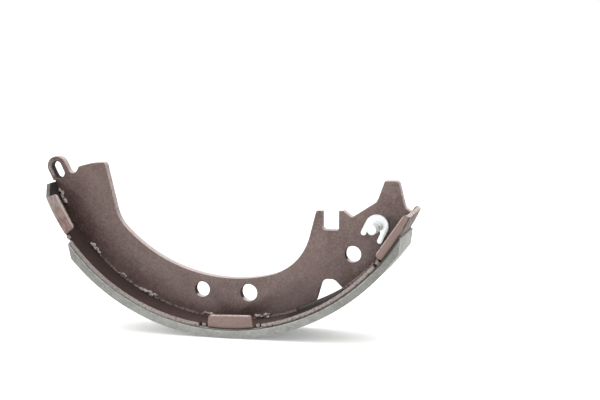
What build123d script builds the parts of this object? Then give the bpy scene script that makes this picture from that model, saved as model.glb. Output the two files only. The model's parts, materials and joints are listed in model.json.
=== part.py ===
"""Drum brake shoe: a pressed web welded into a rolled rim table, with a bonded lining and a lever pin.

Millimetres. The shoe stands on the crown of its lining: X along the arc's chord, Y along the drum's axis with
the pin towards -Y, Z up, and the origin on the floor under the middle of the bounding box. Everything is
drawn about the drum's axis first, with angles in degrees from straight down and positive towards +X, and is
moved to that place at the end.
"""

import math
import os

from build123d import *

# drum and shoe
DRUM_R = 114.3  # inside radius of the drum the lining is ground to
SHOE_W = 40.0  # width of the lining and of the rim table
LINING_T = 4.7
TABLE_T = 2.2
WEB_T = 5.0
WEB_DEPTH = 22.7  # from the table's inside to the web's inner arc
TABLE_OR = DRUM_R - LINING_T
TABLE_IR = TABLE_OR - TABLE_T
WEB_IR = TABLE_IR - WEB_DEPTH

# lining
LINING_FROM, LINING_TO = -52.8, 59.0
LINING_END = 1.0  # depth of the square end before its run-out begins
LINING_RUNOUT = 3.8  # degrees the run-out takes at either end
LINING_EDGE = 0.45  # chamfer along the bonded edges

# rim table
TABLE_FROM = -70.9  # the other end is the last ledge's
TONGUE_TIP_W, TONGUE_ROOT_W = 20.4, 35.2  # the anchor end narrows to a tongue
BEND_IN = 0.8  # inside radius of the bent ledges
# each ledge: first angle, last angle, how far its straight edge stands in from the table's outside, and how
# much lower that edge lies at the last angle
LEDGES = [(-67.2, -55.5, 7.4, 0.0), (-4.75, 8.45, 7.7, 0.0), (50.9, 65.3, 5.5, 1.25)]
LEDGE_CORNER = 2.0
RELIEF_W, RELIEF_D = 5.0, 3.2  # relief notch beside a ledge
NUB_W, NUB_H = 2.1, 1.5  # tooth left standing in a relief notch
TABLE_EDGE = 0.3

# web; outline points are x, z and the radius of the corner
WEB_FROM, WEB_TO = -71.25, 65.2  # its anchor end and its cylinder end, on the table's inside
ARC_FROM, ARC_TO = -46.4, 14.3  # plain stretch of the inner arc
WEB_EDGE = 0.35  # edge break round the pressing; its punched holes stay sharp
HOLES = [(-10.62, 14.1, 8.4), (5.62, 14.55, 9.4), (43.94, 11.7, 8.8)]  # angle, depth from the table, diameter
# the horn, the edge beside the lever pin and the strut slot's mouth are given from the cylinder end
HORN = [(-3.2, 1.75, 4.0), (-6.8, 16.1, 2.4), (-14.4, 15.95, 1.2), (-18.35, 4.85, 4.5)]
PIN_LAND = [(-31.9, -4.1, 1.8), (-36.5, -0.65, 0.8)]
STRUT_AT = (-38.9, -0.65)
STRUT_W, STRUT_D = 8.9, 10.35  # slot that takes the adjuster strut; its depth is below the finger's tip
FINGER_W = 3.45  # finger between the strut slot and the inner arc
FINGER_DROP = 0.25  # the finger's tip below the slot's mouth
FINGER_FOOT = (-3.7, -15.35)  # where the finger's back meets the blend to the inner arc
ARCH_AT = 30.0  # angle of the arched relief that opens towards the table
ARCH = [(-10.2, -12.0), (-3.8, 10.2, 4.4), (2.6, 10.0, 3.6), (13.3, -0.5), (6.3, -17.0)]
RECESS_FROM, RECESS_D = 19.6, 1.9  # where the web's edge stands clear of the table, from here to the arch
HEEL_FROM = (35.5, -14.78)  # end of the blend from the inner arc, from the anchor end
HEEL = [(29.25, 11.02, 2.0), (21.5, 10.32, 30.0), (13.65, 8.27, 2.3), (10.5, 1.02, 2.6)]
RING_R = 5.5  # spring eye at the anchor end
RING_TURN = 26.57  # lean of the eye from straight down
RING_SLOT_W, RING_SLOT_L = 5.2, 9.4
RING_AT = (0.9, 7.92)  # centre of the eye's top, from the anchor end
RING_FOOT_R = 0.5  # inside corner where the eye steps in to the table's inside

# lever pin and its clip
PIN_AT = (-18.1, -8.25)  # from the web's cylinder end
PIN_R = 2.75
PIN_OUT = 16.2  # how far the pin stands out of the web's front
PIN_GROOVE_AT, PIN_GROOVE_W, PIN_GROOVE_D = 3.6, 1.9, 0.75  # from the free end
PIN_TIP = 0.7
HEAD_R, HEAD_T, HEAD_DISH = 4.8, 2.2, 1.1  # the head tapers by its dish over its outer half
CLIP_T = 1.6
CLIP_SEAT_D = 0.55  # depth of the groove that the clip snaps into, against the web
CLIP_BORE_R = PIN_R - CLIP_SEAT_D
CLIP_OR = 6.35
CLIP_LEG_IN = 3.4  # half the gap between the legs
CLIP_LEG = 7.7  # centre of the arc to the legs' ends
CLIP_KNEE = 1.6  # drop from the bore's throat to where the legs stand apart
CLIP_TURN = 25.5  # lean of the open side from straight down towards the anchor end
CLIP_GRIP = 25.0  # degrees the clip's bore reaches past the half circle, each side

# weld spots along the web: middle angle, length
WELDS = [(-66.2, 8.0), (-47.1, 9.0), (-36.3, 4.5), (-26.8, 9.0), (-7.4, 6.0), (9.3, 8.5), (53.5, 9.0)]
WELD_H, WELD_OUT = 1.5, 1.3  # how far a spot climbs the web and how far it spreads on the table
WELD_STEP = 1.1

CLEAR = 1.0  # how far a cutter reaches past what it cuts


def polar(r, deg):
    """Point at an angle from straight down."""
    a = math.radians(deg)
    return r * math.sin(a), -r * math.cos(a)


def unit(x, z):
    n = math.hypot(x, z)
    return x / n, z / n


def rounded(points):
    """Edges through (x, z, radius) points, straight between them and rounded where a radius is given."""
    edges, last = [], points[0][:2]
    for before, here, after in zip(points, points[1:], points[2:]):
        r = here[2] if len(here) > 2 else 0
        if not r:
            edges.append(Line(last, here[:2]))
            last = here[:2]
            continue
        u = unit(before[0] - here[0], before[1] - here[1])
        v = unit(after[0] - here[0], after[1] - here[1])
        half = math.acos(max(-1, min(1, u[0] * v[0] + u[1] * v[1]))) / 2
        back = r / math.tan(half)
        start = (here[0] + u[0] * back, here[1] + u[1] * back)
        end = (here[0] + v[0] * back, here[1] + v[1] * back)
        bx, bz = unit(u[0] + v[0], u[1] + v[1])
        away = r / math.sin(half)
        middle = (here[0] + bx * (away - r), here[1] + bz * (away - r))
        if math.dist(last, start) > 1e-6:
            edges.append(Line(last, start))
        edges.append(ThreePointArc(start, middle, end))
        last = end
    if math.dist(last, points[-1][:2]) > 1e-6:
        edges.append(Line(last, points[-1][:2]))
    return edges


def arc(r, start, end):
    """Arc about the drum's axis between two angles."""
    return ThreePointArc(polar(r, start), polar(r, (start + end) / 2), polar(r, end))


def beside(origin, points):
    """Points given as x, z and sometimes a corner radius, moved to an origin."""
    return [(origin[0] + x, origin[1] + z, *radius) for x, z, *radius in points]


def sector(r_in, r_out, start, end):
    """Flat piece of a ring."""
    return make_face(
        Curve()
        + [
            arc(r_in, start, end),
            Line(polar(r_in, end), polar(r_out, end)),
            arc(r_out, end, start),
            Line(polar(r_out, start), polar(r_in, start)),
        ]
    )


def slab(face, y_from, y_to):
    """Solid over a flat figure drawn in x and z, between two values of y."""
    return extrude(Plane.XZ.offset(-y_to) * face, y_to - y_from)


def turned(profile, start, end):
    """Solid swept about the drum's axis from a profile drawn as (radius, y)."""
    radial = Plane(origin=(0, 0, 0), x_dir=(0, 0, -1), z_dir=(1, 0, 0))
    return Rot(0, -end, 0) * revolve(radial * profile, Axis.Y, end - start)


def cylinder_end():
    """Outline from the web's last point on the table over the horn and the strut slot to the inner arc."""
    near, mouth = STRUT_AT
    far = near - STRUT_W
    finger_top = mouth - FINGER_DROP
    floor = finger_top - STRUT_D
    finger_tip = FINGER_W * 0.485
    strut = [
        (near, mouth, 0.4),
        (near, floor, 1.3),
        (far, floor, 1.7),
        (far, finger_top, finger_tip),
        (far - FINGER_W, finger_top, finger_tip),
        (far - FINGER_W + FINGER_FOOT[0], FINGER_FOOT[1]),
    ]
    return beside(polar(TABLE_IR, WEB_TO), [(0, 0), *HORN, *PIN_LAND, *strut])


def anchor_end():
    """Edges from the inner arc over the heel and the spring eye to the web's first point on the table."""
    origin = polar(TABLE_IR, WEB_FROM)
    ux, uz = polar(1, RING_TURN)
    nx, nz = -uz, ux
    cx, cz = RING_AT
    inner_side = (cx + RING_R * nx, cz + RING_R * nz)
    outer_side = (cx - RING_R * nx, cz - RING_R * nz)
    top = (cx - RING_R * ux, cz - RING_R * uz)
    # the eye's outer side runs down to the end of the table, then steps in to the table's inside
    ex, ez = polar(1, WEB_FROM)
    along = (outer_side[1] * ex - outer_side[0] * ez) / (ux * ez - uz * ex)
    step = (outer_side[0] + ux * along, outer_side[1] + uz * along, RING_FOOT_R)
    heel = beside(origin, [HEEL_FROM, *HEEL, inner_side])
    eye = beside(origin, [inner_side, top, outer_side])
    tail = beside(origin, [outer_side, step, (0, 0)])
    return heel[0], [*rounded(heel), ThreePointArc(*eye), *rounded(tail)]


def web_outline():
    """The pressing's outline: along the table, over the cylinder end, the inner arc and the anchor end."""
    right = cylinder_end()
    left_start, left = anchor_end()
    (rx, rz), (lx, lz) = polar(WEB_IR, ARC_TO), polar(WEB_IR, ARC_FROM)
    # both blends leave the inner arc along its tangent
    to_right = TangentArc((rx, rz), right[-1], tangent=(-rz, rx))
    to_left = TangentArc((lx, lz), left_start, tangent=(lz, -lx))
    return make_face(
        Curve()
        + [
            arc(TABLE_IR, WEB_FROM, WEB_TO),
            *rounded(right),
            to_right,
            arc(WEB_IR, ARC_TO, ARC_FROM),
            to_left,
            *left,
        ]
    )


def spring_slot():
    """Long hole in the spring eye."""
    cx, cz = beside(polar(TABLE_IR, WEB_FROM), [RING_AT])[0]
    half = (RING_SLOT_L - RING_SLOT_W) / 2
    ux, uz = polar(half, RING_TURN)
    return Pos(cx + ux, cz + uz) * (Rot(0, 0, RING_TURN - 90) * SlotOverall(RING_SLOT_L, RING_SLOT_W))


def arch():
    """Arched relief that opens towards the table."""
    shape = beside(polar(TABLE_IR, ARCH_AT), [*ARCH, ARCH[0]])
    return make_face(Curve() + rounded(shape))


def broken_edges(solid):
    """Edges of the pressing's two faces, without those on the table and round the holes."""
    edges = ShapeList(e for face in solid.faces().filter_by(Axis.Y) for e in face.edges())

    def broken(edge):
        x, _, z = edge.position_at(0.5)
        return not edge.is_closed and abs(math.hypot(x, z) - TABLE_IR) > 0.02

    return edges.filter_by(broken)


def web():
    face = web_outline()
    for angle, depth, dia in HOLES:
        face -= Pos(*polar(TABLE_IR - depth, angle)) * Circle(dia / 2)
    face -= spring_slot()
    face -= arch()
    face -= sector(TABLE_IR - RECESS_D, TABLE_IR + CLEAR, RECESS_FROM, ARCH_AT)
    face -= Pos(*pin_centre()) * Circle(PIN_R)
    solid = slab(face, -WEB_T / 2, WEB_T / 2)
    return chamfer(broken_edges(solid), WEB_EDGE)


def ledge_profile(top):
    """Half of the table's cross section where its edge is bent up, as (radius, y)."""
    out_r = BEND_IN + TABLE_T
    half = SHOE_W / 2
    centre = (TABLE_OR - out_r, half - out_r)
    lean = math.sqrt(0.5)
    outer_bend = (centre[0] + out_r * lean, centre[1] + out_r * lean)
    inner_bend = (centre[0] + BEND_IN * lean, centre[1] + BEND_IN * lean)
    section = [
        Line((TABLE_OR, 0), (TABLE_OR, centre[1])),
        ThreePointArc((TABLE_OR, centre[1]), outer_bend, (centre[0], half)),
        Line((centre[0], half), (top, half)),
        Line((top, half), (top, half - TABLE_T)),
        Line((top, half - TABLE_T), (centre[0], half - TABLE_T)),
        ThreePointArc((centre[0], half - TABLE_T), inner_bend, (TABLE_IR, centre[1])),
        Line((TABLE_IR, centre[1]), (TABLE_IR, 0)),
        Line((TABLE_IR, 0), (TABLE_OR, 0)),
    ]
    return make_face(Curve() + section)


def ledge(start, end, height, fall):
    """A stretch of the table with both edges bent up, their free edge straight and its corners round."""
    edge_r = TABLE_OR - height
    half = ledge_profile(edge_r - 2 * CLEAR)
    solid = turned(half + mirror(half, Plane.XZ), start, end)
    # the frame's two sides lie just outside the stretch's ends, so that only the free edge is cut
    lean = math.tan(math.radians((end - start) / 2))
    foot_r, low_r = TABLE_OR + 4 * CLEAR, edge_r + fall
    foot = foot_r * lean + CLEAR / 2
    frame = [
        (-foot, -foot_r),
        (-edge_r * lean, -edge_r, LEDGE_CORNER),
        (low_r * lean, -low_r, LEDGE_CORNER),
        (foot, -foot_r),
    ]
    keep = make_face(Curve() + [*rounded(frame), Line(frame[-1], frame[0])])
    return solid & slab(Rot(0, 0, (start + end) / 2) * keep, -SHOE_W, SHOE_W)


def strip(start, end, width):
    """Plain stretch of the table with its sheared edges broken on the lining side."""
    c, h = TABLE_EDGE, width / 2
    outline = [
        (TABLE_IR, -h),
        (TABLE_OR - c, -h),
        (TABLE_OR, -h + c),
        (TABLE_OR, h - c),
        (TABLE_OR - c, h),
        (TABLE_IR, h),
    ]
    return turned(make_face(Polyline(*outline, close=True)), start, end)


def tongue():
    """Last stretch of the table at the anchor end, narrowing in a straight line to its tip."""
    start, end = TABLE_FROM, LEDGES[0][0]
    reach = TABLE_OR * math.tan(math.radians((end - start) / 2))
    tip, root = TONGUE_TIP_W / 2, TONGUE_ROOT_W / 2
    flare = CLEAR * (root - tip) / (2 * reach)
    # flank drawn on the tangent plane, with x along the arc, and carried on past both ends
    beside_tongue = [
        (-reach - CLEAR, tip - flare),
        (reach + CLEAR, root + flare),
        (reach + CLEAR, SHOE_W),
        (-reach - CLEAR, SHOE_W),
    ]
    figure = make_face(Polyline(*beside_tongue, close=True))
    cutter = extrude(Plane.XY.offset(-TABLE_OR - 2 * CLEAR) * figure, TABLE_T + 4 * CLEAR)
    cutter = Rot(0, -(start + end) / 2, 0) * cutter
    return strip(start, end, SHOE_W) - cutter - mirror(cutter, Plane.XZ)


def relief(at, side, y):
    """Cutter for a relief notch that starts at an angle and runs to one side, with its tooth left out."""
    mm = math.degrees(1 / TABLE_OR)
    a, b = sorted((at, at + side * RELIEF_W * mm))
    middle = (a + b) / 2
    floor = SHOE_W / 2 - RELIEF_D
    box = slab(sector(TABLE_IR - CLEAR, TABLE_OR + CLEAR, a, b), floor, SHOE_W)
    nub = NUB_W / 2 * mm
    nub_face = sector(TABLE_IR - 2 * CLEAR, TABLE_OR + 2 * CLEAR, middle - nub, middle + nub)
    cut = box - slab(nub_face, floor - CLEAR, floor + NUB_H)
    return cut if y > 0 else mirror(cut, Plane.XZ)


def table():
    """Plain strips between the ledges, the ledges, the reliefs beside them and the tongue."""
    joints = [LEDGES[0][1], LEDGES[1][0], LEDGES[1][1], LEDGES[2][0]]
    body = strip(joints[0], joints[1], SHOE_W) + strip(joints[2], joints[3], SHOE_W)
    for at, side in ((joints[0], 1), (joints[1], -1), (joints[2], 1), (joints[3], -1)):
        for y in (-1, 1):
            body -= relief(at, side, y)
    body += tongue()
    for each in LEDGES:
        body += ledge(*each)
    return body


def lining():
    """Bonded lining: square ends first, then a run-out ground towards the drum face."""
    mid = LINING_END + TABLE_OR
    outline = make_face(
        Curve()
        + [
            arc(TABLE_OR, LINING_FROM, LINING_TO),
            Line(polar(TABLE_OR, LINING_TO), polar(mid, LINING_TO)),
            Line(polar(mid, LINING_TO), polar(DRUM_R, LINING_TO - LINING_RUNOUT)),
            arc(DRUM_R, LINING_TO - LINING_RUNOUT, LINING_FROM + LINING_RUNOUT),
            Line(polar(DRUM_R, LINING_FROM + LINING_RUNOUT), polar(mid, LINING_FROM)),
            Line(polar(mid, LINING_FROM), polar(TABLE_OR, LINING_FROM)),
        ]
    )
    block = slab(outline, -SHOE_W / 2, SHOE_W / 2)
    c, h = LINING_EDGE, SHOE_W / 2
    corner = [(TABLE_OR - CLEAR, h - c - CLEAR), (TABLE_OR - CLEAR, h + CLEAR), (TABLE_OR + c, h)]
    groove = turned(make_face(Polyline(*corner, close=True)), LINING_FROM - 1, LINING_TO + 1)
    return block - groove - mirror(groove, Plane.XZ)


def spread(seed, i):
    """Repeatable number between 0 and 1 that makes the spots uneven."""
    return math.modf(abs(math.sin(seed * 12.9898 + i * 78.233) * 43758.5453))[0]


def weld_spot(middle, length, side, seed):
    """Uneven bead of squeezed-out metal in the corner between web and table."""
    count = max(4, round(length / WELD_STEP))
    sections = []
    for i in range(count + 1):
        t = i / count
        swell = 0.28 + 0.72 * math.sin(math.pi * min(0.94, max(0.06, t))) ** 0.6
        up = WELD_H * swell * (0.55 + 0.75 * spread(seed, i))
        out = WELD_OUT * swell * (0.55 + 0.75 * spread(seed + 3, i))
        bulge = 0.42 + 0.3 * spread(seed + 7, i)
        deg = middle + math.degrees((t - 0.5) * length / TABLE_IR)
        corners = [
            (TABLE_IR, WEB_T / 2),
            (TABLE_IR, WEB_T / 2 + out),
            (TABLE_IR - up * bulge, WEB_T / 2 + out * bulge * 1.15),
            (TABLE_IR - up, WEB_T / 2),
        ]
        points = []
        for r, y in corners:
            x, z = polar(r, deg)
            points.append((x, side * y, z))
        sections.append(make_face(Polyline(*points, close=True)))
    return loft(sections, ruled=True)


def welds():
    spots = []
    for n, (middle, length) in enumerate(WELDS):
        for side in (-1, 1):
            spots.append(weld_spot(middle, length, side, n * 5 + side))
    return Compound(children=[s for spot in spots for s in spot.solids()])


def pin_centre():
    """The lever pin's place in x and z."""
    return beside(polar(TABLE_IR, WEB_TO), [PIN_AT])[0]


def lever_pin():
    """Plated pin: low head behind the web, shank through it, the clip's groove and one near the free end."""
    seat, back = -WEB_T / 2, WEB_T / 2
    front = seat - PIN_OUT
    g0, g1 = front + PIN_GROOVE_AT, front + PIN_GROOVE_AT + PIN_GROOVE_W
    neck = PIN_R - PIN_GROOVE_D
    half = [
        (0, front),
        (PIN_R - PIN_TIP, front),
        (PIN_R, front + PIN_TIP),
        (PIN_R, g0),
        (neck, g0),
        (neck, g1),
        (PIN_R, g1),
        (PIN_R, seat - CLIP_T),
        (CLIP_BORE_R, seat - CLIP_T),
        (CLIP_BORE_R, seat),
        (PIN_R, seat),
        (PIN_R, back),
        (HEAD_R, back),
        (HEAD_R, back + HEAD_T / 2),
        (HEAD_R - HEAD_DISH, back + HEAD_T),
        (0, back + HEAD_T),
    ]
    profile = make_face(Polyline(*half, close=True))
    x, z = pin_centre()
    return Pos(x, 0, z) * revolve(profile, Axis.Y, 360)


def clip_outline():
    """Horseshoe open downwards: a bore that reaches past the half circle, then legs that stand apart."""
    a = math.radians(CLIP_GRIP)
    throat = (CLIP_BORE_R * math.cos(a), -CLIP_BORE_R * math.sin(a))
    tip = (CLIP_OR - CLIP_LEG_IN) / 2
    centre = CLIP_LEG_IN + tip
    low = -(CLIP_LEG - tip)
    knee = (CLIP_LEG_IN, throat[1] - CLIP_KNEE)
    return make_face(
        Curve()
        + [
            ThreePointArc(throat, (0, CLIP_BORE_R), (-throat[0], throat[1])),
            Line((-throat[0], throat[1]), (-knee[0], knee[1])),
            Line((-knee[0], knee[1]), (-CLIP_LEG_IN, low)),
            ThreePointArc((-CLIP_LEG_IN, low), (-centre, low - tip), (-CLIP_OR, low)),
            Line((-CLIP_OR, low), (-CLIP_OR, 0)),
            ThreePointArc((-CLIP_OR, 0), (0, CLIP_OR), (CLIP_OR, 0)),
            Line((CLIP_OR, 0), (CLIP_OR, low)),
            ThreePointArc((CLIP_OR, low), (centre, low - tip), (CLIP_LEG_IN, low)),
            Line((CLIP_LEG_IN, low), knee),
            Line(knee, throat),
        ]
    )


def horseshoe_clip():
    face = Pos(*pin_centre()) * (Rot(0, 0, -CLIP_TURN) * clip_outline())
    y = -WEB_T / 2
    return slab(face, y - CLIP_T, y)


def main():
    os.makedirs("parts", exist_ok=True)
    nodes = {
        "web": web(),
        "table": table(),
        "lining": lining(),
        "weld_spots": welds(),
        "lever_pin": lever_pin(),
        "horseshoe_clip": horseshoe_clip(),
    }
    box = Compound(children=[s for shape in nodes.values() for s in shape.solids()]).bounding_box()
    place = Pos(-(box.min.X + box.max.X) / 2, 0, -box.min.Z)
    for name, shape in nodes.items():
        export_step(place * shape, f"parts/{name}.step")


if __name__ == "__main__":
    main()
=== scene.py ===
"""Looks of a drum brake shoe: primed steel pressings, ground friction lining, zinc-plated pin and clip."""

import json
import math
import random
from functools import reduce

import bpy
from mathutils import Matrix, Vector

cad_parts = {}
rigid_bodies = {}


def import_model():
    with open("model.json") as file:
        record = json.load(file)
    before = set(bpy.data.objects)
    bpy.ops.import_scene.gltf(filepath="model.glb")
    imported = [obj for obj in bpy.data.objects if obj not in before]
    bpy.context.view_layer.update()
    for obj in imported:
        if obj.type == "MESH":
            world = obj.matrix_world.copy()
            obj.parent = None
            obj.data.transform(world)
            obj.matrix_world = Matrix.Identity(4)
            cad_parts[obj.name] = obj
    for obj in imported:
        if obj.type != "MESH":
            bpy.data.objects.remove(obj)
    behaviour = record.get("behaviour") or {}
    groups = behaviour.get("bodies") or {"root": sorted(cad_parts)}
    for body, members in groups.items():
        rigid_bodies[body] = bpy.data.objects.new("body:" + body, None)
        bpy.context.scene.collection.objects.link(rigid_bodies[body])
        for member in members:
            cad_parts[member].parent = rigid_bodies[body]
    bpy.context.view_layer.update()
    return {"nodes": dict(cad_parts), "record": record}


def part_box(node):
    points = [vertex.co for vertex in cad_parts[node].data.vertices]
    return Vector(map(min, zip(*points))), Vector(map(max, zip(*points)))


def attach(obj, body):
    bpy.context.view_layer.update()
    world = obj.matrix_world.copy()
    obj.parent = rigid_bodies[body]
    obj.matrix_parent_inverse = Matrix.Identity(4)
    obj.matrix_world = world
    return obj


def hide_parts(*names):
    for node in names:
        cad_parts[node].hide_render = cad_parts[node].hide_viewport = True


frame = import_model()
mounts = {mount["name"]: mount for mount in frame["record"]["mounts"]}

MM = 0.001
MERGE = 1e-6  # metres
SPOT_SOFT = 0.3 * MM


def around(mount, reach):
    """Spot round a mount: x and z, a reach that takes in the walls there, and how softly it ends."""
    x, _, z = mounts[mount]["pos_m"]
    return (x, z, reach, SPOT_SOFT)


# The drum's axis, in the row frame. Angles are degrees round it from straight down, positive towards +X, and
# radii are taken from it. The cylinder's end of the shoe is at +X, the anchor's end at -X.
DRUM_X = mounts["friction_face"]["pos_m"][0]
DRUM_Z = 114.3 * MM

# the web
WEB_FACE = 2.5 * MM  # half of its thickness
HOLES = [
    around("spring_hole_anchor_side", 4.6 * MM),
    around("hold_down_hole", 5.1 * MM),
    around("spring_hole_cylinder_side", 4.8 * MM),
]
SPRING_SLOT = around("spring_eye", 4.95 * MM)
STRUT_SLOT = (57.5 * MM, 65.8 * MM, 7.4 * MM, SPOT_SOFT)

# the table, a rolled strip
TABLE_INSIDE = 107.4 * MM
TABLE_OUTSIDE = 109.6 * MM
TABLE_FROM = -70.9
TABLE_TO = 65.3
TONGUE_TO = -67.3  # the narrower end towards the anchor
NOTCH_FLOOR = 16.8 * MM  # from the web's middle plane
# each bent ledge: its first and last angle, then the angle and the distance at which the line of its straight
# free edge passes nearest to the axis
LEDGES = [
    (-67.2, -55.5, -61.35, 102.2 * MM),
    (-4.75, 8.45, 1.85, 101.9 * MM),
    (50.9, 65.3, 55.4, 104.6 * MM),
]
LEDGE_SOFT = 0.4  # degrees

# the lining
LINING_TO = 59.0  # where it ends towards the cylinder
BOND_TOP = 110.0 * MM  # past the chamfer along its bonded edges

# wear, painted shadows, painted shade and a painted sheen on the web: spots, then angles, or radii where the
# name says so
EYE_SCUFF = (-101.8 * MM, 86.4 * MM, 4.2 * MM, 1.5 * MM)
# painted shadow beside the clip
CLIP_SHADOW = (91.5 * MM, 60.5 * MM, 3.5 * MM, 5.0 * MM)
LEDGE_SHADOW = (0.5, 8.0)  # painted shadow of the middle ledge, above it
LEDGE_SHADOW_RADII = (97 * MM, 104 * MM)
# painted shade in the web's corner with the table
CORNER_SHADE_ANGLES = (-36.0, -54.0)
CORNER_SHADE_RADII = (88 * MM, 106 * MM)
# painted shade towards the anchor's end, and a painted sheen across the middle
SHADE_TOWARDS_ANCHOR = (-30.0, -58.0)
SHEEN_IN_MIDDLE = (-22.0, 30.0)
CORNER_LINE = (-38.0, 55.0)  # a paler line of primer in the corner with the table

# painted shade and wear on the table, as angles
INSIDE_PALER = (-34.0, -12.0)
INSIDE_ARCH_SHADE = (19.0, 34.0)  # painted shade under the web's arched relief
LEDGE_STREAKED = (-50.0, -56.0)
LEDGE_GREYED = (-59.0, -66.0)
EDGE_DULLER = (-22.0, -38.0)
EDGE_PITTED = (-25.0, 5.0)

# the lining's glue line, by angle: it thickens at the cylinder's end and is fainter at the anchor's end
GLUE_THICKENS = (44.0, 50.0)
GLUE_THIN = 0.12 * MM
GLUE_THICK = 0.65 * MM
GLUE_DARKENS = (-25.0, 5.0)
LINING_SHADE_AT_ENDS = (12.0, 46.0)  # painted shade towards both ends

# corners and the pin's rings
EDGE_ROUND = {"web": 0.20, "table": 0.12, "lining": 0.15, "lever_pin": 0.12, "horseshoe_clip": 0.15}  # mm
FLAT_WITHIN = 0.3  # degrees
SMOOTH_BELOW = 32.0  # degrees
PIN_RING_SCALE = 600.0  # rings about half a millimetre apart

# weld flash: lumps in a row along each weld, fused and made ragged
FLASH_SEED = 7
WELD_GAP = 2.0  # degrees at least from weld to weld
LUMP_STEP = 1.0 * MM
LUMPS_AT_LEAST = 3
LUMP_SHIFT = (-0.2, 0.2)  # of a step, along the weld
LUMP_HEIGHT = (0.5, 2.1)  # mm up the web from the table's inside
LUMP_RADIUS = (0.45, 1.05)  # mm
LUMP_STRETCH = [(1.1, 1.7), (0.8, 1.2), (0.5, 0.8)]  # along the weld, across the shoe, up the web
LUMP_PROUD = (0.3, 0.8)  # how far its middle stands off the web, as a share of its own depth
LUMP_TURN = (-12, 12)  # degrees
END_WELD_BEFORE = -60
END_WELD_SWELLS = 1.25  # the first weld's lumps are larger
FLASH_VOXEL = 0.16 * MM
FLASH_RAGGED = 0.9 * MM
FLASH_CLOUDS = 0.45 * MM
FLASH_SMOOTH_BELOW = 50  # degrees

# camera
CAMERA_AT = (234.11 * MM, -811.06 * MM, 183.08 * MM)
CAMERA_TURN = (82.490, -0.197, 13.472)  # degrees
CAMERA_LENS = 94.4
CAMERA_SENSOR = 36.0

# light, in metres and watts
ROOM_BRIGHT_SIDE = (-0.28, 0.20, 0.939)  # unit direction
ROOM_BRIGHT = 2.1
ROOM_DIM = 0.29
SOFTBOX_AT = (-0.24, 0.10, 0.96)
SOFTBOX_AIM = (0.0, 0.0, 0.05)
SOFTBOX_SIZE = (1.5, 1.2)
SOFTBOX_POWER = 3.0
FLOOR_SIZE = 60.0
FLOOR_GLOW = 0.10
FLOOR_SEEN = 0.22

# colours of the primer, with its painted shade and highlights, from near black to near white, and of scuffs
# and sheared edges
PAINT_GREY_IN_SHADE = (0.028, 0.025, 0.023, 1)
PAINT_SHADE_BLACK = (0.028, 0.020, 0.018, 1)
PAINT_PITS_AND_SHADE = (0.040, 0.024, 0.021, 1)
PAINT_SHADE_RED = (0.046, 0.020, 0.017, 1)
PAINT_DARK = (0.126, 0.078, 0.070, 1)
PAINT_MID = (0.172, 0.115, 0.105, 1)
PAINT_OLIVE = (0.188, 0.144, 0.122, 1)
PAINT_FLANK = (0.165, 0.152, 0.143, 1)
PAINT_LIGHT = (0.250, 0.185, 0.168, 1)
PAINT_WORN = (0.300, 0.206, 0.184, 1)
PAINT_SCRAPED_AND_LIT = (0.370, 0.310, 0.292, 1)
PAINT_THIN_AND_LIT = (0.520, 0.440, 0.412, 1)
PAINT_TOP_HIGHLIGHT = (0.740, 0.680, 0.660, 1)
SCUFFED_GREY = (0.300, 0.275, 0.255, 1)
EDGE_BRIGHT = (0.350, 0.304, 0.286, 1)
EDGE_DULL = (0.190, 0.158, 0.147, 1)

# colours of the lining, the plate, the welds and the floor
LINING_PITS_AND_SHADE = (0.115, 0.108, 0.098, 1)
LINING_DARK = (0.270, 0.274, 0.256, 1)
LINING_MID = (0.350, 0.356, 0.334, 1)
LINING_PALE = (0.480, 0.484, 0.452, 1)
GLUE = (0.045, 0.034, 0.030, 1)
ZINC_BLUISH = (0.88, 0.92, 0.925, 1)
ZINC_BRIGHT = (0.95, 0.965, 0.96, 1)
WELD_SCALE = (0.10, 0.068, 0.060, 1)
WELD_BRIGHT = (0.56, 0.49, 0.46, 1)
FLOOR_GREY = (0.9, 0.9, 0.9, 1)
WHITE = (1, 1, 1, 1)

# sockets of the Mix node for colours and for values: factor, first, second, result
MIX_SOCKETS = {"RGBA": (0, 6, 7, 2), "FLOAT": (0, 2, 3, 0)}


def tree_of(*values):
    """The node tree of the first socket among the values."""
    return next(value.id_data for value in values if isinstance(value, bpy.types.NodeSocket))


def feed(socket, value):
    """Gives a socket what feeds it: another socket, or a fixed value."""
    if isinstance(value, bpy.types.NodeSocket):
        socket.id_data.links.new(value, socket)
    else:
        socket.default_value = value


def noise(at, scale, detail, rough):
    """Noise from 0 to 1, its scale in cells a metre."""
    node = tree_of(at).nodes.new("ShaderNodeTexNoise")
    for label, value in (("Vector", at), ("Scale", scale), ("Detail", detail), ("Roughness", rough)):
        feed(node.inputs[label], value)
    return node.outputs["Fac"]


def ramp(value, low, high, at_low=0.0, at_high=1.0):
    """Smooth change from at_low to at_high as the value goes from low to high. Low may be the larger."""
    node = tree_of(value).nodes.new("ShaderNodeMapRange")
    node.interpolation_type = "SMOOTHSTEP"
    limits = (("From Min", low), ("From Max", high), ("To Min", at_low), ("To Max", at_high))
    for label, limit in limits:
        feed(node.inputs[label], limit)
    feed(node.inputs["Value"], value)
    return node.outputs["Result"]


def mix(kind, *values):
    node = tree_of(*values).nodes.new("ShaderNodeMix")
    node.data_type = kind
    *inputs, result = MIX_SOCKETS[kind]
    for index, value in zip(inputs, values):
        feed(node.inputs[index], value)
    return node.outputs[result]


def mix_colour(factor, first, second):
    return mix("RGBA", factor, first, second)


def mix_value(factor, first, second):
    return mix("FLOAT", factor, first, second)


def maths(kind, *values):
    node = tree_of(*values).nodes.new("ShaderNodeMath")
    node.operation = kind
    for socket, value in zip(node.inputs, values):
        feed(socket, value)
    return node.outputs[0]


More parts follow.
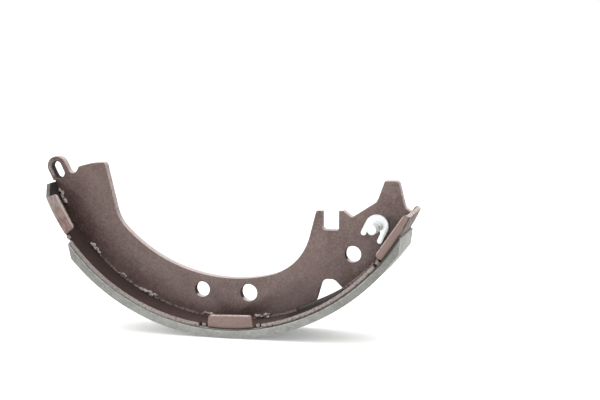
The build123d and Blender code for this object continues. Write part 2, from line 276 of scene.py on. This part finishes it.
def vector_maths(kind, first, second):
    node = tree_of(first).nodes.new("ShaderNodeVectorMath")
    node.operation = kind
    feed(node.inputs[0], first)
    feed(node.inputs[1], second)
    return node.outputs["Value" if kind == "DOT_PRODUCT" else "Vector"]


def split(vector):
    """The three values of a vector or colour."""
    node = tree_of(vector).nodes.new("ShaderNodeSeparateXYZ")
    feed(node.inputs[0], vector)
    return tuple(node.outputs)


def joined(*values):
    """A vector of three values."""
    node = tree_of(*values).nodes.new("ShaderNodeCombineXYZ")
    for socket, value in zip(node.inputs, values):
        feed(socket, value)
    return node.outputs[0]


def both(first, second):
    return maths("MULTIPLY", first, second)


def either(first, second):
    return maths("MAXIMUM", first, second)


def any_of(masks):
    return reduce(either, masks)


def opposite(mask):
    return maths("SUBTRACT", 1.0, mask)


def band(value, low, high, soft):
    """Mask that is 1 between low and high and fades out over soft on each side."""
    return both(ramp(value, low - soft, low), ramp(value, high + soft, high))


def lay(colour, paint, mask, most=1.0):
    """The colour with a paint laid on where the mask is, no more strongly than the share given."""
    if most < 1.0:
        mask = both(mask, most)
    return mix_colour(mask, colour, paint)


def bump(height, strength, distance, normal=None):
    node = tree_of(height).nodes.new("ShaderNodeBump")
    feed(node.inputs["Strength"], strength)
    feed(node.inputs["Distance"], distance)
    feed(node.inputs["Height"], height)
    if normal is not None:
        feed(node.inputs["Normal"], normal)
    return node.outputs["Normal"]


def new_group(name, inputs, outputs):
    """Shader node group that puts out values; returns the sockets that it reads and those that it fills."""
    group = bpy.data.node_groups.new(name, "ShaderNodeTree")
    for label, value in inputs.items():
        kind = "NodeSocketVector" if isinstance(value, tuple) else "NodeSocketFloat"
        group.interface.new_socket(label, in_out="INPUT", socket_type=kind).default_value = value
    for label in outputs:
        group.interface.new_socket(label, in_out="OUTPUT", socket_type="NodeSocketFloat")
    return group.nodes.new("NodeGroupInput").outputs, group.nodes.new("NodeGroupOutput").inputs


def use_group(name, **inputs):
    """Places a shared group, with _ for a space in its sockets' names, and returns what it puts out."""
    node = tree_of(*inputs.values()).nodes.new("ShaderNodeGroup")
    node.node_tree = bpy.data.node_groups[name]
    for label, value in inputs.items():
        feed(node.inputs[label.replace("_", " ")], value)
    return node.outputs


def sprayed_grain_group():
    """Fine grain, soft clouds and rare specks of a sprayed coat. Scales are in cells a metre."""
    scales = {"Grain Scale": 1000.0, "Cloud Scale": 60.0, "Speck Scale": 300.0}
    given, out = new_group("sprayed_grain", {"Vector": (0, 0, 0), **scales}, ("Grain", "Cloud", "Speck"))
    at = given["Vector"]
    feed(out["Grain"], noise(at, given["Grain Scale"], 2.5, 0.6))
    feed(out["Cloud"], noise(at, given["Cloud Scale"], 3.0, 0.6))
    cells = tree_of(at).nodes.new("ShaderNodeTexVoronoi")
    feed(cells.inputs["Vector"], at)
    feed(cells.inputs["Scale"], given["Speck Scale"])
    chance = split(cells.outputs["Color"])[0]
    feed(out["Speck"], both(ramp(cells.outputs["Distance"], 0.22, 0.10), ramp(chance, 0.93, 0.95)))


def shoe_place_group():
    """Where a point lies on the shoe, and how far it faces out, across, along the arc and up."""
    labels = ("Radius", "Angle", "Across", "Faces Out", "Faces Across", "Faces Along", "Faces Up")
    given, out = new_group("shoe_place", {"Vector": (0, 0, 0), "Normal": (0, 0, 1)}, labels)
    x, y, z = split(vector_maths("SUBTRACT", given["Vector"], (DRUM_X, 0, DRUM_Z)))
    normal_x, normal_y, normal_z = split(given["Normal"])
    radius = maths("SQRT", maths("ADD", both(x, x), both(z, z)))
    turn = maths("ARCTAN2", x, both(z, -1.0))
    outward = maths("ADD", both(x, normal_x), both(z, normal_z))
    along = maths("SUBTRACT", both(z, normal_x), both(x, normal_z))
    feed(out["Radius"], radius)
    feed(out["Angle"], maths("DEGREES", turn))
    feed(out["Across"], maths("ABSOLUTE", y))
    feed(out["Faces Out"], maths("DIVIDE", outward, radius))
    feed(out["Faces Across"], maths("ABSOLUTE", normal_y))
    feed(out["Faces Along"], maths("ABSOLUTE", maths("DIVIDE", along, radius)))
    feed(out["Faces Up"], normal_z)


def ground_lines_group():
    """Grinding lines that run round the shoe: fine across its width, long along it."""
    given, out = new_group("ground_lines", {"Vector": (0, 0, 0), "Fine": 1800.0, "Long": 60.0}, ("Lines",))
    stretch = joined(given["Long"], given["Fine"], given["Long"])
    feed(out["Lines"], noise(vector_maths("MULTIPLY", given["Vector"], stretch), 1.0, 3.0, 0.6))


def arc_lines_group():
    """Streaks and flakes that run along the arc: fine across the radius, long along the angle."""
    place = {"Radius": 0.0, "Angle": 0.0, "Across": 0.0}
    given, out = new_group("arc_lines", {**place, "Fine": 1500.0, "Long": 0.6}, ("Lines",))
    scales = (("Radius", "Fine"), ("Angle", "Long"), ("Across", "Fine"))
    spread = joined(*[both(given[label], given[scale]) for label, scale in scales])
    feed(out["Lines"], noise(spread, 1.0, 3.0, 0.65))


def near_group():
    """Mask of what lies within a reach of a line that runs across the shoe."""
    spot = {"Middle X": 0.0, "Middle Z": 0.0, "Reach": 5 * MM, "Soft": 0.3 * MM}
    given, out = new_group("near_hole", {"Vector": (0, 0, 0), **spot}, ("Mask",))
    x, _, z = split(given["Vector"])
    off_x = maths("SUBTRACT", x, given["Middle X"])
    off_z = maths("SUBTRACT", z, given["Middle Z"])
    distance = maths("SQRT", maths("ADD", both(off_x, off_x), both(off_z, off_z)))
    beyond = maths("SUBTRACT", distance, given["Reach"])
    feed(out["Mask"], ramp(maths("DIVIDE", beyond, given["Soft"]), 1.0, 0.0))


def new_material(name):
    """A material and the inputs of its shader."""
    material = bpy.data.materials.new(name)
    material.use_nodes = True
    return material, material.node_tree.nodes["Principled BSDF"].inputs


def object_place(material):
    """The piece's own coordinates."""
    return material.node_tree.nodes.new("ShaderNodeTexCoord").outputs["Object"]


def shoe_place(at):
    """Place and facing on the shoe, from the piece's own coordinates and normal."""
    return use_group("shoe_place", Vector=at, Normal=at.node.outputs["Normal"])


def arc_lines(place, fine, long):
    where = {label: place[label] for label in ("Radius", "Angle", "Across")}
    return use_group("arc_lines", **where, Fine=fine, Long=long)["Lines"]


def near(at, spot):
    """Mask of a spot on the web, through its thickness."""
    x, z, reach, soft = spot
    return use_group("near_hole", Vector=at, Middle_X=x, Middle_Z=z, Reach=reach, Soft=soft)["Mask"]


def primer(at):
    """Sprayed primer before wear: clouds of pinkish and olive brown, a fine grain and a few light specks."""
    grain = use_group("sprayed_grain", Vector=at, Grain_Scale=900.0, Cloud_Scale=110.0, Speck_Scale=380.0)
    drift = use_group("sprayed_grain", Vector=at, Grain_Scale=420.0, Cloud_Scale=30.0)
    colour = mix_colour(ramp(grain["Cloud"], 0.30, 0.70), PAINT_DARK, PAINT_MID)
    colour = lay(colour, PAINT_OLIVE, ramp(drift["Cloud"], 0.42, 0.66), 0.55)
    colour = lay(colour, PAINT_LIGHT, ramp(drift["Grain"], 0.50, 0.70), 0.35)
    colour = lay(colour, PAINT_LIGHT, ramp(grain["Grain"], 0.50, 0.72), 0.50)
    colour = lay(colour, PAINT_PITS_AND_SHADE, ramp(grain["Grain"], 0.46, 0.34), 0.35)
    colour = lay(colour, PAINT_THIN_AND_LIT, grain["Speck"], 0.35)
    return colour, grain


def finish_primer(shader, colour, grain, rough, dull=None):
    """Feeds the shader with the primer's colour, sheen and orange peel. A mask may name where it is dull."""
    roughness = mix_value(grain["Cloud"], rough - 0.12, rough + 0.12)
    if dull is not None:
        roughness = mix_value(dull, roughness, 0.95)
    feed(shader["Base Color"], colour)
    feed(shader["Roughness"], roughness)
    feed(shader["Normal"], bump(grain["Grain"], 0.5, 0.12 * MM))


def sheared(at, place, bright, dull):
    """Broken steel of a sheared edge, mottled along the arc."""
    mottle = mix_value(0.5, arc_lines(place, 1000.0, 1.3), noise(at, 750.0, 4.0, 0.7))
    return mix_colour(ramp(mottle, 0.43, 0.51), dull, bright)


def web_paint():
    """Primer on the pressing: painted shade in its corner with the table and in its holes, thin on its
    outline, with painted highlights where its walls face up.
    """
    material, shader = new_material("brown_primer_on_web")
    at = object_place(material)
    place = shoe_place(at)
    radius, angle = place["Radius"], place["Angle"]
    colour, grain = primer(at)

    blotchy = ramp(grain["Grain"], 0.42, 0.62, 1.2, 0.6)
    # painted shade in the corner with the table, strongest near the table and towards the anchor's end
    corner_shade = both(ramp(radius, *CORNER_SHADE_RADII, 0.10, 1.0), ramp(angle, *CORNER_SHADE_ANGLES, 0.06, 0.66))
    colour = lay(colour, PAINT_SHADE_RED, both(corner_shade, blotchy))
    # painted shadow of the middle ledge on the web above it
    ledge_shadow = both(band(angle, *LEDGE_SHADOW, 4.0), ramp(radius, *LEDGE_SHADOW_RADII))
    colour = lay(colour, PAINT_SHADE_RED, both(ledge_shadow, blotchy), 0.45)
    line = both(
        band(radius, TABLE_INSIDE - 1.1 * MM, TABLE_INSIDE - 0.1 * MM, 0.25 * MM),
        band(angle, *CORNER_LINE, 10.0),
    )
    colour = lay(colour, PAINT_THIN_AND_LIT, both(line, ramp(grain["Grain"], 0.38, 0.52)), 0.75)
    # painted shadow beside the clip
    colour = lay(colour, PAINT_SHADE_RED, near(at, CLIP_SHADOW), 0.55)
    scratched = mix_colour(ramp(noise(at, 1500.0, 4.0, 0.7), 0.42, 0.56), PAINT_PITS_AND_SHADE, SCUFFED_GREY)
    colour = lay(colour, scratched, near(at, EYE_SCUFF), 0.8)
    # painted shade towards the anchor's end, and a painted sheen across the middle
    colour = lay(colour, PAINT_DARK, ramp(angle, *SHADE_TOWARDS_ANCHOR), 0.22)
    colour = lay(colour, PAINT_LIGHT, band(angle, *SHEEN_IN_MIDDLE, 14.0), 0.14)

    walls = ramp(place["Faces Across"], 0.93, 0.80)
    colour = lay(colour, sheared(at, place, PAINT_SCRAPED_AND_LIT, PAINT_MID), walls)
    # painted highlight on the sheared walls that face up
    colour = lay(colour, PAINT_THIN_AND_LIT, both(walls, ramp(place["Faces Up"], 0.30, 0.70)), 0.7)
    # painted shade on the walls of the holes and the spring slot, and a painted highlight on the sides of the
    # holes and the strut slot that face up
    holes = any_of([near(at, hole) for hole in HOLES])
    strut_slot = near(at, STRUT_SLOT)
    shade_in_holes = both(walls, either(holes, near(at, SPRING_SLOT)))
    rubbed_and_lit = both(either(holes, strut_slot), ramp(place["Faces Up"], 0.55, 0.80))
    colour = lay(colour, PAINT_PITS_AND_SHADE, shade_in_holes)
    colour = lay(colour, PAINT_MID, both(walls, strut_slot))
    colour = lay(colour, PAINT_TOP_HIGHLIGHT, both(walls, rubbed_and_lit))
    finish_primer(shader, colour, grain, 0.46, dull=shade_in_holes)
    return material


def ledge_lips(place):
    """The last half millimetre of the ledges' faces, along their straight free edges."""
    lips = []
    for first, last, nearest, distance in LEDGES:
        turn = maths("RADIANS", maths("SUBTRACT", place["Angle"], nearest))
        height = both(place["Radius"], maths("COSINE", turn))
        lip = ramp(height, distance + 0.75 * MM, distance + 0.25 * MM)
        lips.append(both(lip, band(place["Angle"], first, last, LEDGE_SOFT)))
    return any_of(lips)


def table_paint():
    """Primer on the rolled strip: painted shade inside and in the notches, scuffed pale on the ledges, broken
    through to steel along the sheared edge, with painted highlights on its free edges and ends.
    """
    material, shader = new_material("brown_primer_on_table")
    at = object_place(material)
    place = shoe_place(at)
    radius, angle, faces_out = place["Radius"], place["Angle"], place["Faces Out"]
    colour, grain = primer(at)
    across = ramp(place["Faces Across"], 0.5, 0.75)
    ledges = any_of([band(angle, first, last, LEDGE_SOFT) for first, last, _, _ in LEDGES])
    tongue = ramp(angle, TONGUE_TO + 0.3, TONGUE_TO)

    # painted shade on the strip's inside, lighter between INSIDE_PALER's angles and darkest under the arched
    # relief
    near_inside = band(radius, TABLE_INSIDE - 0.4 * MM, TABLE_INSIDE + 0.4 * MM, 0.3 * MM)
    inside = both(ramp(faces_out, -0.6, -0.9), near_inside)
    colour = lay(colour, PAINT_PITS_AND_SHADE, both(inside, ramp(angle, *INSIDE_PALER, 0.92, 0.80)))
    colour = lay(colour, PAINT_SHADE_BLACK, both(inside, band(angle, *INSIDE_ARCH_SHADE, 3.0)), 0.9)
    # the tongue's inside is greyer, and near black with painted shade
    colour = lay(colour, PAINT_GREY_IN_SHADE, both(inside, tongue))

    # the ledges' faces, rubbed along the arc
    streaks = arc_lines(place, 700.0, 0.5)
    rubbed_and_lit = both(ledges, across)
    faded = mix_colour(ramp(streaks, 0.34, 0.64), PAINT_LIGHT, PAINT_WORN)
    streaked = mix_colour(ramp(streaks, 0.44, 0.56), PAINT_MID, PAINT_WORN)
    faded = lay(faded, streaked, ramp(angle, *LEDGE_STREAKED))
    colour = lay(colour, faded, rubbed_and_lit, 0.8)
    scuffed = mix_colour(ramp(streaks, 0.40, 0.56), PAINT_LIGHT, SCUFFED_GREY)
    colour = lay(colour, scuffed, both(rubbed_and_lit, ramp(angle, *LEDGE_GREYED)), 0.75)
    bare_and_lit = sheared(at, place, PAINT_THIN_AND_LIT, PAINT_WORN)
    # pale sheared steel with a painted highlight along the ledges' lips
    colour = lay(colour, bare_and_lit, both(ledge_lips(place), across), 0.8)

    # the sheared edge: painted shade in the notches, and pitted towards the lining at the cylinder's end
    outer = ramp(radius, TABLE_INSIDE - 0.5 * MM, TABLE_INSIDE)
    walls = both(both(across, outer), opposite(ledges))
    colour = lay(colour, PAINT_PITS_AND_SHADE, walls)
    edge = both(walls, ramp(place["Across"], NOTCH_FLOOR + 0.2 * MM, NOTCH_FLOOR + 1.0 * MM))
    broken = lay(sheared(at, place, EDGE_BRIGHT, EDGE_DULL), EDGE_DULL, ramp(angle, *EDGE_DULLER), 0.45)
    colour = lay(colour, broken, edge)
    towards_lining = ramp(radius, TABLE_OUTSIDE - 1.0 * MM, TABLE_OUTSIDE - 0.4 * MM)
    pitted = both(towards_lining, ramp(angle, *EDGE_PITTED))
    colour = lay(colour, sheared(at, place, EDGE_DULL, PAINT_PITS_AND_SHADE), both(edge, pitted))
    colour = lay(colour, sheared(at, place, PAINT_FLANK, PAINT_DARK), both(walls, tongue))

    # pale sheared steel with a painted highlight on the ledges' free edges and at the strip's two ends
    free_edges = ramp(radius, TABLE_INSIDE - 0.7 * MM, TABLE_INSIDE - 1.1 * MM)
    free_edges = both(ramp(faces_out, -0.45, -0.7), free_edges)
    at_ends = either(ramp(angle, TABLE_TO - 0.7, TABLE_TO - 0.1), ramp(angle, TABLE_FROM + 0.4, TABLE_FROM))
    at_ends = both(ramp(place["Faces Along"], 0.85, 0.93), at_ends)
    colour = lay(colour, bare_and_lit, either(free_edges, at_ends))

    # past the lining the strip's outside is scratched round
    outside = both(ramp(faces_out, 0.6, 0.85), ramp(angle, LINING_TO - 0.2, LINING_TO))
    colour = lay(colour, mix_colour(ramp(streaks, 0.36, 0.66), PAINT_PITS_AND_SHADE, PAINT_MID), outside)
    feed(shader["Specular IOR Level"], 0.22)
    finish_primer(shader, colour, grain, 0.55, dull=inside)
    return material


def corner_paint():
    """Primer thinned on rounded corners where the clouds fall, with a painted highlight on those that face
    up; both are faint on the rolled strip.
    """
    material, shader = new_material("brown_primer_at_corners")
    at = object_place(material)
    place = shoe_place(at)
    colour, grain = primer(at)
    # wear where the clouds fall, and a painted highlight where the corners face up
    worn_and_lit = either(ramp(grain["Cloud"], 0.3, 0.55), ramp(place["Faces Up"], 0.10, 0.40))
    on_strip = band(place["Radius"], TABLE_INSIDE - 0.3 * MM, TABLE_OUTSIDE + 0.3 * MM, 0.1 * MM)
    colour = lay(colour, PAINT_SCRAPED_AND_LIT, both(worn_and_lit, mix_value(on_strip, 0.85, 0.20)))
    finish_primer(shader, colour, grain, 0.42)
    return material


def friction_lining():
    """Resin-bonded lining: grey with flakes along the arc on its sides, ground lines on its face."""
    material, shader = new_material("friction_lining")
    at = object_place(material)
    place = shoe_place(at)
    radius, angle = place["Radius"], place["Angle"]
    grain = use_group("sprayed_grain", Vector=at, Grain_Scale=1250.0, Cloud_Scale=160.0, Speck_Scale=420.0)
    flakes = arc_lines(place, 900.0, 0.9)
    colour = mix_colour(ramp(grain["Cloud"], 0.32, 0.68), LINING_DARK, LINING_MID)
    colour = lay(colour, LINING_PALE, ramp(flakes, 0.46, 0.66), 0.45)
    colour = lay(colour, LINING_PALE, ramp(grain["Grain"], 0.52, 0.70), 0.40)
    colour = lay(colour, LINING_PITS_AND_SHADE, ramp(grain["Grain"], 0.44, 0.32), 0.45)
    # painted shade towards both ends
    colour = lay(colour, LINING_PITS_AND_SHADE, ramp(maths("ABSOLUTE", angle), *LINING_SHADE_AT_ENDS), 0.42)
    colour = lay(colour, LINING_PITS_AND_SHADE, grain["Speck"], 0.8)

    lines = use_group("ground_lines", Vector=at, Fine=2200.0, Long=50.0)["Lines"]
    ground = ramp(place["Faces Across"], 0.6, 0.3)
    colour = lay(colour, mix_colour(ramp(lines, 0.38, 0.62), LINING_DARK, LINING_PALE), ground, 0.75)

    # glue in the bonded corner, and a chipped pale rim beside it
    side = opposite(ground)
    rim = both(band(radius, BOND_TOP + 0.2 * MM, BOND_TOP + 0.55 * MM, 0.1 * MM), side)
    colour = lay(colour, LINING_PALE, both(rim, ramp(flakes, 0.40, 0.55)), 0.6)
    squeezed = ramp(angle, *GLUE_THICKENS, GLUE_THIN, GLUE_THICK)
    past_glue = maths("SUBTRACT", maths("SUBTRACT", radius, BOND_TOP), squeezed)
    glue = both(ramp(past_glue, 0.0, -0.12 * MM), side)
    colour = lay(colour, GLUE, both(glue, ramp(angle, *GLUE_DARKENS, 0.25, 0.9)))

    feed(shader["Base Color"], colour)
    feed(shader["Roughness"], 0.82)
    rough = bump(grain["Grain"], 0.5, 0.16 * MM)
    feed(shader["Normal"], bump(both(lines, ground), 0.5, 0.15 * MM, rough))
    return material


def zinc():
    """Bright zinc plate with the faint rings of the turned pin."""
    material, shader = new_material("zinc_plate")
    at = object_place(material)
    grain = use_group("sprayed_grain", Vector=at, Grain_Scale=600.0, Cloud_Scale=200.0)
    feed(shader["Base Color"], mix_colour(ramp(grain["Cloud"], 0.35, 0.65), ZINC_BLUISH, ZINC_BRIGHT))
    feed(shader["Metallic"], 0.85)
    feed(shader["Roughness"], mix_value(grain["Grain"], 0.30, 0.42))
    centred = tree_of(at).nodes.new("ShaderNodeMapping")
    feed(centred.inputs["Vector"], at)
    feed(centred.inputs["Location"], [-value for value in pin_centre()])
    rings = tree_of(at).nodes.new("ShaderNodeTexWave")
    rings.wave_type = "RINGS"
    rings.rings_direction = "Y"
    feed(rings.inputs["Scale"], PIN_RING_SCALE)
    feed(rings.inputs["Vector"], centred.outputs[0])
    feed(shader["Normal"], bump(rings.outputs["Fac"], 0.2, 0.02 * MM))
    return material


def weld_metal():
    """Metal of the welds, dark with scale and bright where it is not."""
    material, shader = new_material("weld_metal")
    at = object_place(material)
    grain = use_group("sprayed_grain", Vector=at, Grain_Scale=1600.0, Cloud_Scale=620.0)
    feed(shader["Base Color"], mix_colour(ramp(grain["Cloud"], 0.34, 0.50), WELD_SCALE, WELD_BRIGHT))
    feed(shader["Roughness"], 0.42)
    feed(shader["Normal"], bump(grain["Grain"], 0.7, 0.3 * MM))
    return material


def pin_centre():
    """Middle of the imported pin, at the web's middle plane."""
    low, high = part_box("lever_pin")
    return ((low[0] + high[0]) / 2, 0.0, (low[2] + high[2]) / 2)


def deselect():
    bpy.ops.object.select_all(action="DESELECT")


def activate(piece):
    deselect()
    piece.select_set(True)
    bpy.context.view_layer.objects.active = piece


def finish_piece(piece, body, slot, materials, *nodes):
    piece.data.materials.clear()
    for material in materials:
        piece.data.materials.append(material)
    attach(piece, body)
    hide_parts(*nodes)


def rounded_skin(node, name, corner_material):
    """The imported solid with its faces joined, its corners rounded and its curves shaded smooth."""
    activate(frame["nodes"][node])
    bpy.ops.object.duplicate()
    piece = bpy.context.object
    piece.name = name
    bpy.ops.object.parent_clear(type="CLEAR_KEEP_TRANSFORM")
    bpy.ops.object.mode_set(mode="EDIT")
    bpy.ops.mesh.select_all(action="SELECT")
    bpy.ops.mesh.remove_doubles(threshold=MERGE)
    bpy.ops.mesh.dissolve_limited(angle_limit=math.radians(FLAT_WITHIN))
    bpy.ops.object.mode_set(mode="OBJECT")
    bpy.ops.mesh.customdata_custom_splitnormals_clear()
    bevel = piece.modifiers.new("rounding", "BEVEL")
    bevel.width = EDGE_ROUND[node] * MM
    bevel.segments = 2
    bevel.limit_method = "ANGLE"
    bevel.angle_limit = math.radians(SMOOTH_BELOW)
    bevel.material = 1 if corner_material else -1
    bpy.ops.object.modifier_apply(modifier=bevel.name)
    bpy.ops.object.shade_smooth_by_angle(angle=math.radians(SMOOTH_BELOW))
    return piece


def polar_place(radius, angle, across):
    """Point at a radius, an angle and a distance across from the web's middle plane."""
    turn = math.radians(angle)
    return (DRUM_X + radius * math.sin(turn), across, DRUM_Z - radius * math.cos(turn))


def weld_runs():
    """(first angle, last angle, side) of each weld solid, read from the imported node."""
    mesh = frame["nodes"]["weld_spots"].data
    places = []
    for vertex in mesh.vertices:
        angle = math.degrees(math.atan2(vertex.co.x - DRUM_X, DRUM_Z - vertex.co.z))
        places.append((vertex.co.y > 0, angle))
    runs = []
    for side in (False, True):
        angles = sorted(angle for far, angle in places if far == side)
        first = angles[0]
        for before, after in zip(angles, angles[1:] + [math.inf]):
            if after - before > WELD_GAP:
                runs.append((first, before, 1 if side else -1))
                first = after
    return runs


def flash_lumps():
    """Rows of flattened balls in the corner between web and table, one row along each weld."""
    draw = random.Random(FLASH_SEED)
    lumps = []
    for first, last, side in weld_runs():
        length = math.radians(last - first) * TABLE_INSIDE
        count = max(LUMPS_AT_LEAST, round(length / LUMP_STEP))
        swell = END_WELD_SWELLS if first < END_WELD_BEFORE else 1.0
        for step in range(count):
            angle = first + (last - first) * (step + 0.5 + draw.uniform(*LUMP_SHIFT)) / count
            height = draw.uniform(*LUMP_HEIGHT) * MM
            size = draw.uniform(*LUMP_RADIUS) * swell * MM
            stretch = [draw.uniform(*limits) for limits in LUMP_STRETCH]
            proud = draw.uniform(*LUMP_PROUD) * stretch[1] * size
            place = polar_place(TABLE_INSIDE - height, angle, side * (WEB_FACE + proud))
            bpy.ops.mesh.primitive_ico_sphere_add(subdivisions=2, radius=size, location=place)
            lump = bpy.context.object
            lump.scale = stretch
            lump.rotation_euler = (0, -math.radians(angle + draw.uniform(*LUMP_TURN)), 0)
            lumps.append(lump)
    return lumps


def weld_flash():
    """Metal squeezed out of the corner at each weld: a ragged lip that stands off the web."""
    deselect()
    lumps = flash_lumps()
    for lump in lumps:
        lump.select_set(True)
    bpy.context.view_layer.objects.active = lumps[0]
    bpy.ops.object.join()
    piece = bpy.context.object
    piece.name = "weld_flash"
    bpy.ops.object.transform_apply(location=True, rotation=True, scale=True)
    fuse = piece.modifiers.new("fuse", "REMESH")
    fuse.mode = "VOXEL"
    fuse.voxel_size = FLASH_VOXEL
    ragged = piece.modifiers.new("ragged", "DISPLACE")
    clouds = bpy.data.textures.new("ragged_metal", "CLOUDS")
    clouds.noise_scale = FLASH_CLOUDS
    ragged.texture = clouds
    ragged.texture_coords = "LOCAL"
    ragged.strength = FLASH_RAGGED
    ragged.mid_level = 0.5
    for modifier in (fuse.name, ragged.name):
        bpy.ops.object.modifier_apply(modifier=modifier)
    bpy.ops.object.shade_smooth_by_angle(angle=math.radians(FLASH_SMOOTH_BELOW))
    return piece


def softbox():
    """One large soft lamp overhead, turned to the shoe."""
    data = bpy.data.lights.new("softbox", "AREA")
    data.shape = "RECTANGLE"
    data.size, data.size_y = SOFTBOX_SIZE
    data.energy = SOFTBOX_POWER
    lamp = bpy.data.objects.new("softbox", data)
    bpy.context.scene.collection.objects.link(lamp)
    lamp.location = SOFTBOX_AT
    x, y, z = [end - start for start, end in zip(SOFTBOX_AT, SOFTBOX_AIM)]
    lamp.rotation_euler = (math.pi / 2 + math.atan2(z, math.hypot(x, y)), 0, math.atan2(-x, y))


def world_light():
    """White room, bright overhead and dim round the sides. The eye and glossy paint see plain white."""
    world = bpy.data.worlds.new("studio")
    bpy.context.scene.world = world
    world.use_nodes = True
    nodes = world.node_tree.nodes
    nodes.clear()
    direction = nodes.new("ShaderNodeTexCoord").outputs["Generated"]
    level = ramp(vector_maths("DOT_PRODUCT", direction, ROOM_BRIGHT_SIDE), 0.05, 0.95, ROOM_DIM, ROOM_BRIGHT)
    rays = nodes.new("ShaderNodeLightPath").outputs
    seen = any_of([rays["Is Camera Ray"], rays["Is Glossy Ray"], rays["Is Transmission Ray"]])
    background = nodes.new("ShaderNodeBackground")
    feed(background.inputs["Color"], WHITE)
    feed(background.inputs["Strength"], mix_value(seen, level, 1.0))
    feed(nodes.new("ShaderNodeOutputWorld").inputs[0], background.outputs[0])


def floor():
    """Pale floor that keeps the shoe's shadow and glows a little more for the eye than for the shoe."""
    bpy.ops.mesh.primitive_plane_add(size=FLOOR_SIZE, location=(0, 0, 0))
    plane = bpy.context.object
    plane.name = "floor"
    material, shader = new_material("pale_floor")
    feed(shader["Base Color"], FLOOR_GREY)
    feed(shader["Roughness"], 0.9)
    feed(shader["Emission Color"], WHITE)
    rays = material.node_tree.nodes.new("ShaderNodeLightPath").outputs
    feed(shader["Emission Strength"], mix_value(rays["Is Camera Ray"], FLOOR_GLOW, FLOOR_SEEN))
    plane.data.materials.append(material)


def camera():
    data = bpy.data.cameras.new("camera")
    data.sensor_width = CAMERA_SENSOR
    data.lens = CAMERA_LENS
    eye = bpy.data.objects.new("camera", data)
    bpy.context.scene.collection.objects.link(eye)
    eye.location = CAMERA_AT
    eye.rotation_euler = [math.radians(angle) for angle in CAMERA_TURN]
    bpy.context.scene.camera = eye


deselect()
bpy.context.scene.view_settings.view_transform = "Standard"
for build_group in (sprayed_grain_group, shoe_place_group, ground_lines_group, arc_lines_group, near_group):
    build_group()
plate = zinc()
corner = corner_paint()
PIECES = [
    # node, name of the piece, slot, materials: the faces' and, where it differs, the rounded corners'
    ("web", "pressed_web", "brown_paint", [web_paint(), corner]),
    ("table", "rim_table", "brown_paint", [table_paint(), corner]),
    ("lining", "bonded_lining", "friction_lining", [friction_lining()]),
    ("lever_pin", "plated_pin", "zinc_plate", [plate]),
    ("horseshoe_clip", "plated_clip", "zinc_plate", [plate]),
]
for node, name, slot, materials in PIECES:
    finish_piece(rounded_skin(node, name, len(materials) > 1), "root", slot, materials, node)
finish_piece(weld_flash(), "root", "weld_metal", [weld_metal()], "weld_spots")

world_light()
softbox()
floor()
camera()
